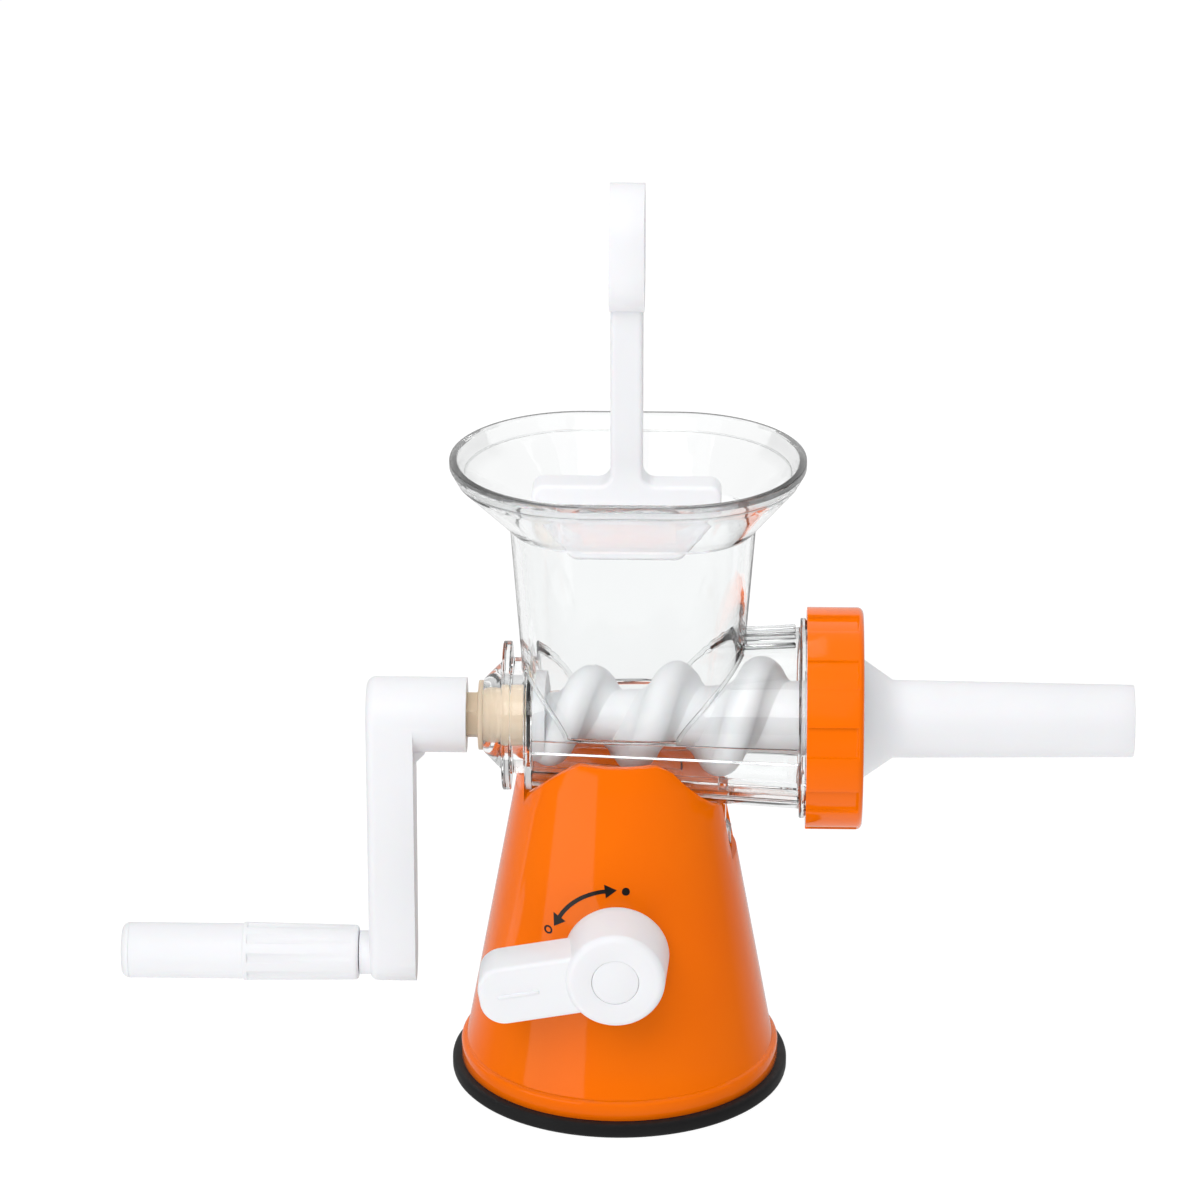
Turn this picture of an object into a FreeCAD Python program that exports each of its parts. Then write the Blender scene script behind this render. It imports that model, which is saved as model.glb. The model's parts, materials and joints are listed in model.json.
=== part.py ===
import FreeCAD, Part
import math
import os
import Sketcher
from FreeCAD import Placement, Rotation, Vector
from types import SimpleNamespace

# A hand crank meat grinder on a suction foot.
# Origin: centre of the foot on the worktop. +Z is up, +X points out of the filling tube,
# the crank is at -X and the suction lever at the front, -Y. Millimetres and degrees.
SIZES = {
    # Stance and running clearances
    "axis_height": 126.0,
    "slip_fit": 0.15,
    "running_fit": 0.06,
    "play": 0.3,
    # Suction foot
    "cup_radius": 55.5,
    "cup_lip": 5.0,
    "cup_lip_width": 9.5,
    "cup_rise": 3.0,
    "cup_skin": 3.0,
    "cup_collar_height": 5.0,
    "cup_collar_wall": 2.6,
    "cup_edge": 1.3,
    "cup_boss_wall": 3.6,
    "rod_foot_radius": 13.0,
    "rod_foot_thickness": 2.6,
    # Base
    "band_radius": 52.5,
    "band_height": 6.6,
    "band_wall": 2.6,
    "band_edge": 1.5,
    "cone_foot_radius": 50.7,
    "cone_top_radius": 31.0,
    "cradle_drop": 5.6,
    "saddle_half_flat": 12.5,
    "saddle_half_width": 33.0,
    "saddle_fall": 21.0,
    "saddle_radius": 47.0,
    "base_wall": 2.6,
    "deck_height": 88.0,
    "deck_thickness": 3.0,
    "latch_half_width": 8.0,
    "latch_length": 16.0,
    "latch_thickness": 2.5,
    "latch_station": 32.4,
    "latch_barb": 1.7,
    # Suction lever and its cam
    "lever_height": 61.5,
    "lever_droop": 10.0,
    "lever_swing": 90.0,
    "knob_back": 45.5,
    "knob_depth": 21.0,
    "knob_back_radius": 17.0,
    "knob_front_radius": 16.0,
    "knob_edge": 2.5,
    "arm_reach": 44.5,
    "arm_width": 20.0,
    "arm_depth": 16.0,
    "arm_setback": 2.0,
    "arm_tip_corner": 8.0,
    "arm_edge": 1.5,
    "cap_radius": 7.5,
    "cap_thickness": 1.6,
    "journal_radius": 9.0,
    "journal_inner_end": 17.0,
    "boss_wall": 4.0,
    "boss_inner_end": 22.0,
    "shaft_square": 10.0,
    "shaft_square_length": 11.5,
    "cam_radius": 5.0,
    "cam_throw": 3.0,
    "cam_end": 14.0,
    "tail_radius": 4.0,
    "tail_end": 37.0,
    "tail_boss_start": 26.0,
    "clip_thickness": 1.2,
    "clip_depth": 1.4,
    "clip_radius": 11.5,
    "rod_thickness": 10.0,
    "rod_half_width": 7.0,
    "yoke_wall": 4.0,
    "sleeve_wall": 2.6,
    "lever_screw_radius": 2.0,
    "lever_screw_head": 4.4,
    "lever_screw_head_height": 2.6,
    "lever_screw_length": 14.0,
    # Barrel and neck, one clear moulding with the hopper
    "barrel_back": 30.6,
    "barrel_back_radius": 24.2,
    "barrel_front_radius": 29.6,
    "barrel_length": 89.1,
    "barrel_wall": 3.0,
    "end_wall": 2.2,
    "collar_radius": 32.6,
    "collar_thickness": 1.8,
    "mouth_radius": 31.8,
    "groove_width": 4.6,
    "groove_radius": 19.0,
    "disc_radius": 24.3,
    "disc_thickness": 2.8,
    "neck_root_radius": 18.2,
    "neck_tip_radius": 11.8,
    "neck_length": 6.4,
    "rib_height": 1.6,
    "rib_angle": 11.0,
    "rib_spread": 169.0,
    "foot_rail_length": 40.0,
    "foot_rail_spacing": 24.0,
    "foot_rail_wall": 3.0,
    # Hopper
    "hopper_wall": 2.6,
    "rim_height": 90.0,
    "rim_lip": 2.0,
    "rim_shoulder": 6.3,
    "rim_shoulder_inset": 2.3,
    "rim_centre": 2.5,
    "rim_half_length": 57.4,
    "rim_half_depth": 43.5,
    "rim_crank_corner": 43.2,
    "rim_outlet_corner": 42.4,
    "throat_height": 68.5,
    "throat_skirt": 2.0,
    "throat_centre": 4.2,
    "throat_top_half_length": 39.6,
    "throat_top_half_depth": 29.2,
    "throat_low_half_length": 34.6,
    "throat_low_half_depth": 27.6,
    "throat_corner": 25.0,
    # Drive shaft, its bush and seal
    "shaft_radius": 8.2,
    "bush_wall": 1.7,
    "bush_flange_radius": 11.4,
    "bush_flange": 1.6,
    "seal_thickness": 1.2,
    "seal_width": 3.4,
    "hex_flats": 13.8,
    "tenon_square": 8.4,
    "tenon_length": 16.0,
    # Auger, knife and plate
    "core_rear_radius": 7.6,
    "core_front_radius": 12.2,
    "flight_height": 8.6,
    "flight_pitch": 27.7,
    "flight_lead": 17.5,
    "flight_root": 9.8,
    "flight_crest": 5.2,
    "flight_crest_radius": 6.2,
    "flight_shoulder": 5.7,
    "auger_disc_radius": 15.0,
    "auger_disc": 4.0,
    "knife_square": 9.0,
    "knife_thickness": 5.4,
    "knife_hub_radius": 9.5,
    "knife_reach": 25.0,
    "knife_blade_width": 9.0,
    "plate_radius": 29.0,
    "plate_thickness": 5.0,
    "plate_pin_radius": 4.0,
    "plate_hole_radius": 2.5,
    "plate_inner_ring": 10.5,
    "plate_outer_ring": 20.0,
    "plate_key_radius": 2.0,
    # Ring nut and filling tube
    "ring_width": 18.4,
    "ring_radius": 36.25,
    "ring_edge": 2.2,
    "grip_recess": 1.3,
    "grip_recess_angle": 16.0,
    "tube_flange": 2.8,
    "tube_root_radius": 22.8,
    "tube_cone_length": 14.6,
    "tube_start_radius": 12.7,
    "tube_end_radius": 11.8,
    "tube_length": 78.3,
    "tube_bore": 10.4,
    "tube_cone_wall": 2.2,
    # Crank
    "hub_start": 49.9,
    "hub_length": 17.3,
    "hub_radius": 12.3,
    "socket_floor": 2.2,
    "crank_throw": 86.0,
    "crank_thickness": 15.4,
    "crank_end_radius": 9.2,
    "crank_edge": 3.0,
    "gusset": 3.6,
    "spigot_radius": 7.25,
    "spigot_length": 3.4,
    "axle_radius": 4.0,
    "axle_grip": 11.0,
    "handle_radius": 9.7,
    "handle_length": 76.0,
    "flute_length": 38.0,
    "flute_radius": 3.4,
    "flute_depth": 0.8,
    "handle_taper": 0.6,
    "handle_waist": 0.5,
    "handle_edge": 1.2,
    "handle_pocket": 6.4,
    "handle_pocket_depth": 5.4,
    "handle_cap_dome": 2.5,
    "grip_screw_radius": 1.5,
    "grip_screw_head": 5.4,
    "grip_screw_head_height": 2.2,
    "grip_screw_length": 10.0,
    # Pusher
    "pusher_lift": 36.2,
    "pusher_thickness": 11.0,
    "pusher_foot_width": 61.0,
    "pusher_foot_tip": 40.0,
    "pusher_foot_height": 25.4,
    "pusher_foot_side": 9.0,
    "pusher_stem_width": 10.4,
    "pusher_length": 125.2,
    "loop_height": 41.4,
    "loop_depth": 31.0,
    "loop_strip": 4.5,
    "loop_width": 11.2,
    "pusher_edge": 1.5,
    "pusher_root": 4.0,
    "pusher_tip_corner": 4.8,
}
# Counts of repeated features
RIBS = 5
PLATE_INNER_HOLES = 6
PLATE_OUTER_HOLES = 14
RING_GRIPS = 10
KNIFE_BLADES = 4
FLUTES = 9


class Size:
    """A value that also knows its formula in the aliases of the sheet."""

    def __init__(self, formula, value):
        self.formula = formula
        self.value = value

    def __add__(self, other):
        other = as_size(other)
        return Size(f"({self.formula} + {other.formula})", self.value + other.value)

    def __sub__(self, other):
        other = as_size(other)
        return Size(f"({self.formula} - {other.formula})", self.value - other.value)

    def __mul__(self, other):
        other = as_size(other)
        return Size(f"({self.formula} * {other.formula})", self.value * other.value)

    def __truediv__(self, other):
        other = as_size(other)
        return Size(f"({self.formula} / {other.formula})", self.value / other.value)

    def __neg__(self):
        return Size(f"(0 - {self.formula})", -self.value)


def as_size(item):
    return item if isinstance(item, Size) else Size(f"({item})", item)


def cosine(angle):
    return Size(f"cos({angle.formula} * 1deg)", math.cos(math.radians(angle.value)))


def sine(angle):
    return Size(f"sin({angle.formula} * 1deg)", math.sin(math.radians(angle.value)))


def arctangent(slope):
    return Size(f"(atan({slope.formula}) / 1deg)", math.degrees(math.atan(slope.value)))


doc = FreeCAD.newDocument("meat_grinder")
sheet = doc.addObject("Spreadsheet::Sheet", "Sizes")
for row, (alias, number) in enumerate(SIZES.items(), start=1):
    sheet.set(f"A{row}", alias)
    sheet.set(f"B{row}", str(number))
    sheet.setAlias(f"B{row}", alias)
doc.recompute()
s = SimpleNamespace(**{alias: Size(f"Sizes.{alias}", number) for alias, number in SIZES.items()})
zero = as_size(0)

# Heights above the worktop
band_bottom = s.cup_lip
band_top = s.cup_lip + s.band_height
cradle_top = s.axis_height - s.cradle_drop
deck_bottom = s.deck_height - s.deck_thickness
cone_fall = (s.cone_foot_radius - s.cone_top_radius) / (cradle_top - band_top)
cam_drop = s.cam_throw * sine(s.lever_swing / 2)
cam_lift = cam_drop * 2

# Stations along the barrel axis, measured from the centre of the foot
barrel_front = s.barrel_length - s.barrel_back
barrel_taper = (s.barrel_front_radius - s.barrel_back_radius) / s.barrel_length
collar_front = barrel_front + s.collar_thickness
disc_front = -(s.barrel_back + s.groove_width)
disc_back = disc_front - s.disc_thickness
neck_tip = disc_back - s.neck_length
chamber_back = s.end_wall - s.barrel_back
bush_back = neck_tip - s.bush_flange
seal_seat = chamber_back - s.seal_thickness - s.play
auger_back = chamber_back + s.play
auger_front = collar_front - s.play
knife_front = auger_front + s.play + s.knife_thickness
plate_back = knife_front + s.play
plate_front = plate_back + s.plate_thickness
mouth_front = plate_front + s.slip_fit
flange_back = mouth_front + s.play
flange_front = flange_back + s.tube_flange
ring_back = collar_front + s.play
ring_front = ring_back + s.ring_width
ring_seat = flange_front + s.play
tube_start = flange_front + s.tube_cone_length
tube_end = tube_start + s.tube_length
hub_front = -s.hub_start
arm_front = hub_front - s.hub_length
socket_end = arm_front + s.socket_floor
arm_back = arm_front - s.crank_thickness
spigot_end = arm_back - s.spigot_length
handle_front = spigot_end - s.play
handle_end = handle_front - s.handle_length
handle_shoulder = handle_end + s.handle_pocket_depth
axle_end = handle_shoulder - s.play

# Distances in front of the base's centre, for the suction lever
knob_front = s.knob_back + s.knob_depth
arm_face = knob_front - s.arm_setback
cap_seat = knob_front - s.cap_thickness - s.play
shaft_tip = s.knob_back + s.shaft_square_length
screw_seat = shaft_tip + s.slip_fit + s.lever_screw_radius


def cone_radius(height):
    """Outer radius of the base's cone at a height above the worktop."""
    return s.cone_foot_radius - (height - band_top) * cone_fall


def barrel_radius(station):
    """Outer radius of the tapered barrel at a station along its axis."""
    return s.barrel_back_radius + (station + s.barrel_back) * barrel_taper


def bind(item, prop, size):
    item.setExpression(prop, as_size(size).formula)


def new_body(label, x=0, y=0, z=0):
    body = doc.addObject("PartDesign::Body", label)
    body.Label = label
    for axis, place in zip("xyz", (x, y, z)):
        bind(body, f"Placement.Base.{axis}", place)
    return body


def origin_of(body, role):
    return next(item for item in body.Origin.OriginFeatures if item.Role == role)


def new_sketch(body, plane, offset=0):
    """A sketch on one of the body's own planes; the offset runs along the plane's normal.

    XY_Plane faces +Z, XZ_Plane faces -Y and YZ_Plane faces +X.
    """
    sketch = body.newObject("Sketcher::SketchObject", f"{body.Name}_sketch")
    sketch.AttachmentSupport = (origin_of(body, plane), [""])
    sketch.MapMode = "FlatFace"
    bind(sketch, "AttachmentOffset.Base.z", offset)
    return sketch


def hold(sketch, kind, axis, edge, end, place):
    """Keep one coordinate of a point at a size, or on the axis where that is zero."""
    if place.formula == zero.formula:
        sketch.addConstraint(Sketcher.Constraint("PointOnObject", edge, end, axis))
        return
    index = sketch.addConstraint(Sketcher.Constraint(kind, -1, 1, edge, end, place.value))
    bind(sketch, f"Constraints[{index}]", place)


def pin(sketch, edge, end, x, y):
    """Hold one point of a sketch at a place given by sizes."""
    hold(sketch, "DistanceX", -2, edge, end, as_size(x))
    hold(sketch, "DistanceY", -1, edge, end, as_size(y))


def arc_between(start, end, radius, turn):
    """The shorter arc from start to end, turning left for +1 and right for -1."""
    chord = end - start
    middle = (start + end) / 2
    rise = math.sqrt(max(radius ** 2 - (chord.Length / 2) ** 2, 0.0))
    centre = middle + Vector(-chord.y, chord.x, 0).normalize() * rise * turn
    first, last = (start, end) if turn > 0 else (end, start)
    angles = [math.atan2(point.y - centre.y, point.x - centre.x) for point in (first, last)]
    return Part.ArcOfCircle(Part.Circle(centre, Vector(0, 0, 1), radius), *angles)


def outline(sketch, corners):
    """A closed outline. A corner is (x, y), or (x, y, radius, turn) where an arc leaves it."""
    corners = [tuple(as_size(item) for item in corner) for corner in corners]
    points = [Vector(corner[0].value, corner[1].value, 0) for corner in corners]
    ends = []
    for number, corner in enumerate(corners):
        start, end = points[number], points[(number + 1) % len(points)]
        if len(corner) == 2:
            edge = sketch.addGeometry(Part.LineSegment(start, end))
            ends.append((edge, 1, 2))
            continue
        radius, turn = corner[2], corner[3].value
        edge = sketch.addGeometry(arc_between(start, end, radius.value, turn))
        ends.append((edge, 1, 2) if turn > 0 else (edge, 2, 1))
        if (end - start).Length < 2 * radius.value - 1e-6:
            index = sketch.addConstraint(Sketcher.Constraint("Radius", edge, radius.value))
            bind(sketch, f"Constraints[{index}]", radius)
        else:
            hold_half_circle(sketch, edge, corner, corners[(number + 1) % len(corners)])
    for number, (edge, first, _) in enumerate(ends):
        before, _, last = ends[number - 1]
        sketch.addConstraint(Sketcher.Constraint("Coincident", before, last, edge, first))
        pin(sketch, edge, first, corners[number][0], corners[number][1])
    return sketch


def hold_half_circle(sketch, edge, start, end):
    """A half circle is held by its centre, in line with its two ends."""
    upright = start[0].formula == end[0].formula
    kind, axis, place = ("DistanceX", -2, start[0]) if upright else ("DistanceY", -1, start[1])
    hold(sketch, kind, axis, edge, 3, place)


def circle(sketch, radius, x=0, y=0):
    radius, x, y = as_size(radius), as_size(x), as_size(y)
    ring = Part.Circle(Vector(x.value, y.value, 0), Vector(0, 0, 1), radius.value)
    edge = sketch.addGeometry(ring)
    index = sketch.addConstraint(Sketcher.Constraint("Radius", edge, radius.value))
    bind(sketch, f"Constraints[{index}]", radius)
    if x.formula == zero.formula and y.formula == zero.formula:
        sketch.addConstraint(Sketcher.Constraint("Coincident", edge, 3, -1, 1))
    else:
        pin(sketch, edge, 3, x, y)
    return sketch


def rectangle(sketch, half_width, half_height, x=0, y=0):
    x, y = as_size(x), as_size(y)
    left, right = x - half_width, x + half_width
    low, high = y - half_height, y + half_height
    return outline(sketch, [(left, low), (right, low), (right, high), (left, high)])


def revolve(body, sketch, axis="H_Axis", angle=360, cut=False, reverse=False):
    feature = body.newObject("PartDesign::Groove" if cut else "PartDesign::Revolution", "revolve")
    feature.Profile = sketch
    feature.ReferenceAxis = (sketch, [axis])
    feature.Reversed = reverse
    bind(feature, "Angle", angle)
    return feature


def pad(body, sketch, length, both=False, reverse=False):
    """Raise a sketch along its normal, against it, or half to each side."""
    feature = body.newObject("PartDesign::Pad", "pad")
    feature.Profile = sketch
    feature.Midplane = both
    feature.Reversed = reverse
    bind(feature, "Length", length)
    return feature


def pocket(body, sketch, length, both=False, forward=False):
    """Cut a sketch against its normal, along it, or half to each side."""
    feature = body.newObject("PartDesign::Pocket", "pocket")
    feature.Profile = sketch
    feature.Midplane = both
    feature.Reversed = forward
    bind(feature, "Length", length)
    return feature


def loft(body, sketches, cut=False):
    feature = body.newObject("PartDesign::SubtractiveLoft" if cut else "PartDesign::AdditiveLoft", "loft")
    feature.Profile = sketches[0]
    feature.Sections = sketches[1:]
    feature.Ruled = True
    return feature


def repeat(body, feature, axis, count, angle=360):
    """Repeat a feature round one of the body's axes."""
    pattern = body.newObject("PartDesign::PolarPattern", "pattern")
    pattern.Originals = [feature]
    pattern.Axis = (origin_of(body, axis), [""])
    pattern.Occurrences = count
    bind(pattern, "Angle", angle)
    body.Tip = pattern
    return pattern


def fillet(body, radius, chosen):
    """Round the edges of the body that a test picks."""
    doc.recompute()
    base = body.Tip
    names = [f"Edge{number}" for number, edge in enumerate(base.Shape.Edges, start=1) if chosen(edge)]
    feature = body.newObject("PartDesign::Fillet", "fillet")
    feature.Base = (base, names)
    bind(feature, "Radius", radius)
    return feature


def lies_at(edge, axis, place):
    """True where every point of an edge has the same given coordinate."""
    low, high = getattr(edge.BoundBox, f"{axis}Min"), getattr(edge.BoundBox, f"{axis}Max")
    return abs(low - place.value) < 0.01 and abs(high - place.value) < 0.01


def hexagon(sketch, flats):
    """A hexagon with a corner up, given by its width across flats."""
    corner = flats / math.sqrt(3)
    turns = [math.radians(90 + 60 * number) for number in range(6)]
    return outline(sketch, [(corner * math.cos(turn), corner * math.sin(turn)) for turn in turns])


def rounded_section(body, height, centre, half_length, half_depth, crank_corner, outlet_corner):
    """A rounded rectangle for the hopper, with its own corners at each end."""
    crank, outlet = centre - half_length, centre + half_length
    return outline(new_sketch(body, "XY_Plane", height), [
        (crank + crank_corner, -half_depth),
        (outlet - outlet_corner, -half_depth, outlet_corner, 1),
        (outlet, outlet_corner - half_depth),
        (outlet, half_depth - outlet_corner, outlet_corner, 1),
        (outlet - outlet_corner, half_depth),
        (crank + crank_corner, half_depth, crank_corner, 1),
        (crank, half_depth - crank_corner),
        (crank, crank_corner - half_depth, crank_corner, 1),
    ])


def base_shell():
    """Moulded cone with a deck, cut on top to cradle the barrel."""
    body = new_body("base_shell")
    inner = s.base_wall
    band_inner = s.band_radius - s.band_wall
    revolve(body, outline(new_sketch(body, "XZ_Plane"), [
        (band_inner, band_bottom),
        (s.band_radius, band_bottom),
        (s.band_radius, band_top - s.band_edge, s.band_edge, 1),
        (s.band_radius - s.band_edge, band_top),
        (s.cone_foot_radius, band_top),
        (s.cone_top_radius, cradle_top),
        (s.cone_top_radius - inner, cradle_top),
        (cone_radius(s.deck_height) - inner, s.deck_height),
        (0, s.deck_height),
        (0, deck_bottom),
        (cone_radius(deck_bottom) - inner, deck_bottom),
        (s.cone_foot_radius - inner, band_top),
        (band_inner, band_top),
    ]), "V_Axis")
    sleeve = new_sketch(body, "XY_Plane", deck_bottom)
    sleeve_x, sleeve_y = s.rod_half_width + s.play, s.rod_thickness / 2 + s.play
    rectangle(sleeve, sleeve_x + s.sleeve_wall, sleeve_y + s.sleeve_wall)
    rectangle(sleeve, sleeve_x, sleeve_y)
    yoke_top = s.lever_height - cam_drop + s.cam_radius + s.play + s.yoke_wall
    pad(body, sleeve, deck_bottom - yoke_top - cam_lift - s.play, reverse=True)
    tail_boss = new_sketch(body, "XZ_Plane", -s.tail_boss_start)
    circle(tail_boss, s.tail_radius + s.boss_wall, 0, s.lever_height)
    boss = pad(body, tail_boss, 1, reverse=True)
    boss.Type = "UpToFirst"
    front_boss = new_sketch(body, "XZ_Plane", s.knob_back - s.play)
    circle(front_boss, s.journal_radius + s.boss_wall, 0, s.lever_height)
    pad(body, front_boss, s.knob_back - s.play - s.boss_inner_end, reverse=True)
    journal_hole = new_sketch(body, "XZ_Plane", s.knob_back - s.play)
    circle(journal_hole, s.journal_radius + s.running_fit, 0, s.lever_height)
    pocket(body, journal_hole, s.knob_back - s.play - s.boss_inner_end)
    tail_hole = new_sketch(body, "XZ_Plane", -s.tail_boss_start)
    circle(tail_hole, s.tail_radius + s.running_fit, 0, s.lever_height)
    pocket(body, tail_hole, s.tail_end + s.play - s.tail_boss_start)
    cut_cradle(body)
    cut_saddle(body)
    cut_latch_slot(body)
    return body


def cut_cradle(body):
    """The top takes the tapered barrel, and the crank side fits the groove of the neck."""
    sketch = new_sketch(body, "XZ_Plane")
    back, tab, front = -s.band_radius, -(s.barrel_back + s.play), s.band_radius
    axis = s.axis_height
    gap = s.play + s.slip_fit
    outline(sketch, [
        (back, axis),
        (front, axis),
        (front, axis + barrel_radius(front) + gap),
        (tab, axis + barrel_radius(tab) + gap),
        (tab, axis + s.groove_radius + gap),
        (back, axis + s.groove_radius + gap),
    ])
    ends = [Vector(place.value, axis.value, 0) for place in (back, front)]
    line = sketch.addGeometry(Part.LineSegment(*ends))
    sketch.toggleConstruction(line)
    pin(sketch, line, 1, back, axis)
    pin(sketch, line, 2, front, axis)
    revolve(body, sketch, "Axis0", cut=True)


def cut_saddle(body):
    """Front and rear walls end in a flat crown with falling shoulders, clear of the tab."""
    sketch = new_sketch(body, "XZ_Plane")
    flat, side, tab = s.saddle_half_flat, s.saddle_half_width, s.barrel_back + s.play
    low, high = cradle_top - s.saddle_fall, s.axis_height
    tab_low = cradle_top - s.saddle_fall * (tab - flat) / (side - flat)
    outline(sketch, [
        (-tab, high),
        (-tab, tab_low, s.saddle_radius, -1),
        (-flat, cradle_top),
        (flat, cradle_top, s.saddle_radius, -1),
        (side, low),
        (s.band_radius, low),
        (s.band_radius, high),
    ])
    pocket(body, sketch, s.band_radius * 2, both=True)


def cut_latch_slot(body):
    """An upright slot on the outlet side for the barrel's snap tab."""
    low = latch_low() - s.latch_thickness
    high = s.axis_height
    sketch = new_sketch(body, "YZ_Plane", s.latch_station - s.play)
    half = s.latch_half_width + s.latch_barb
    rectangle(sketch, half, (high - low) / 2, 0, (high + low) / 2)
    pocket(body, sketch, s.band_radius - s.latch_station, forward=True)


def latch_low():
    """Lower end of the snap tab, above the worktop."""
    return s.axis_height - barrel_radius(s.latch_station) - s.latch_length


def suction_cup():
    """Rubber foot: a lip on the worktop, a collar in the base and a boss for the rod."""
    body = new_body("suction_cup")
    lip, edge = s.cup_lip, s.cup_edge
    skin_top = s.cup_rise + s.cup_skin
    collar = s.band_radius - s.band_wall - s.play
    cavity = s.rod_foot_radius + s.play
    cavity_top = skin_top + s.rod_foot_thickness + s.play * 2
    boss_radius = cavity + s.cup_boss_wall
    boss_top = cavity_top + s.cup_boss_wall / 2
    neck = s.rod_half_width + s.sleeve_wall
    lip_inner = s.cup_radius - s.cup_lip_width
    revolve(body, outline(new_sketch(body, "XZ_Plane"), [
        (lip_inner, 0),
        (s.cup_radius - edge, 0, edge, 1),
        (s.cup_radius, edge),
        (s.cup_radius, lip - edge, edge, 1),
        (s.cup_radius - edge, lip),
        (collar, lip),
        (collar, lip + s.cup_collar_height),
        (collar - s.cup_collar_wall, lip + s.cup_collar_height),
        (collar - s.cup_collar_wall, skin_top),
        (boss_radius, skin_top),
        (boss_radius, boss_top),
        (neck, boss_top),
        (neck, cavity_top),
        (cavity, cavity_top),
        (cavity, skin_top),
        (0, skin_top),
        (0, s.cup_rise),
        (lip_inner - s.cup_rise, s.cup_rise),
    ]), "V_Axis")
    return body


def pull_rod():
    """Flat rod that lifts the cup: a window for the cam and a tongue in the base's sleeve."""
    body = new_body("pull_rod")
    foot_low = s.cup_rise + s.cup_skin + s.play
    window_high = s.cam_radius + s.play
    window_half = s.cam_radius + s.cam_throw + s.play * 2
    centre = s.lever_height - cam_drop
    yoke = window_half + s.yoke_wall
    stem = s.rod_half_width
    tongue_top = deck_bottom - cam_lift - s.play
    yoke_low, yoke_high = centre - window_high - s.yoke_wall, centre + window_high + s.yoke_wall
    plate = new_sketch(body, "XZ_Plane")
    outline(plate, [
        (-stem, foot_low),
        (stem, foot_low),
        (stem, yoke_low - s.yoke_wall),
        (yoke, yoke_low),
        (yoke, yoke_high),
        (stem, yoke_high),
        (stem, tongue_top),
        (-stem, tongue_top),
        (-stem, yoke_high),
        (-yoke, yoke_high),
        (-yoke, yoke_low),
        (-stem, yoke_low - s.yoke_wall),
    ])
    rectangle(plate, window_half, window_high, 0, centre)
    pad(body, plate, s.rod_thickness, both=True)
    foot = new_sketch(body, "XY_Plane", foot_low)
    circle(foot, s.rod_foot_radius)
    pad(body, foot, s.rod_foot_thickness)
    return body


def turn_with_lever(body):
    """The lever and its shaft share one turned position."""
    body.Placement = Placement(body.Placement.Base, Rotation(Vector(0, -1, 0), s.lever_droop.value))
    bind(body, "Placement.Rotation.Angle", s.lever_droop)


def cam_shaft():
    """Shaft through the front boss, with a cam for the rod and a tail in the rear boss."""
    body = new_body("cam_shaft", z=s.lever_height)
    turn_with_lever(body)
    clip_back = s.boss_inner_end - s.play
    clip_front = clip_back - s.clip_thickness - s.play
    revolve(body, outline(new_sketch(body, "XY_Plane"), [
        (0, -s.knob_back),
        (s.journal_radius, -s.knob_back),
        (s.journal_radius, -clip_back),
        (s.journal_radius - s.clip_depth, -clip_back),
        (s.journal_radius - s.clip_depth, -clip_front),
        (s.journal_radius, -clip_front),
        (s.journal_radius, -s.journal_inner_end),
        (0, -s.journal_inner_end),
    ]), "V_Axis")
    square = new_sketch(body, "XZ_Plane", s.knob_back)
    rectangle(square, s.shaft_square / 2, s.shaft_square / 2)
    pad(body, square, s.shaft_square_length)
    cam = new_sketch(body, "XZ_Plane", s.journal_inner_end)
    below = s.lever_swing / 2 - s.lever_droop
    circle(cam, s.cam_radius, -(s.cam_throw * cosine(below)), -(s.cam_throw * sine(below)))
    pad(body, cam, s.journal_inner_end + s.cam_end, reverse=True)
    tail = new_sketch(body, "XZ_Plane", -s.tail_end)
    circle(tail, s.tail_radius)
    pad(body, tail, s.tail_end - s.cam_end)
    hole = new_sketch(body, "XZ_Plane", shaft_tip)
    circle(hole, s.lever_screw_radius + s.running_fit)
    pocket(body, hole, s.lever_screw_length)
    return body


def shaft_clip():
    """Spring clip in the shaft's groove, behind the front boss."""
    body = new_body("shaft_clip", z=s.lever_height)
    bore = s.journal_radius - s.clip_depth + s.running_fit
    ring = new_sketch(body, "XZ_Plane", s.boss_inner_end - s.play * 1.5)
    circle(ring, s.clip_radius)
    circle(ring, bore)
    pad(body, ring, s.clip_thickness, reverse=True)
    mouth = new_sketch(body, "XZ_Plane")
    rectangle(mouth, bore / 2, s.clip_radius / 2, 0, -(s.clip_radius / 2))
    pocket(body, mouth, s.boss_inner_end, forward=True)
    return body


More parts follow.
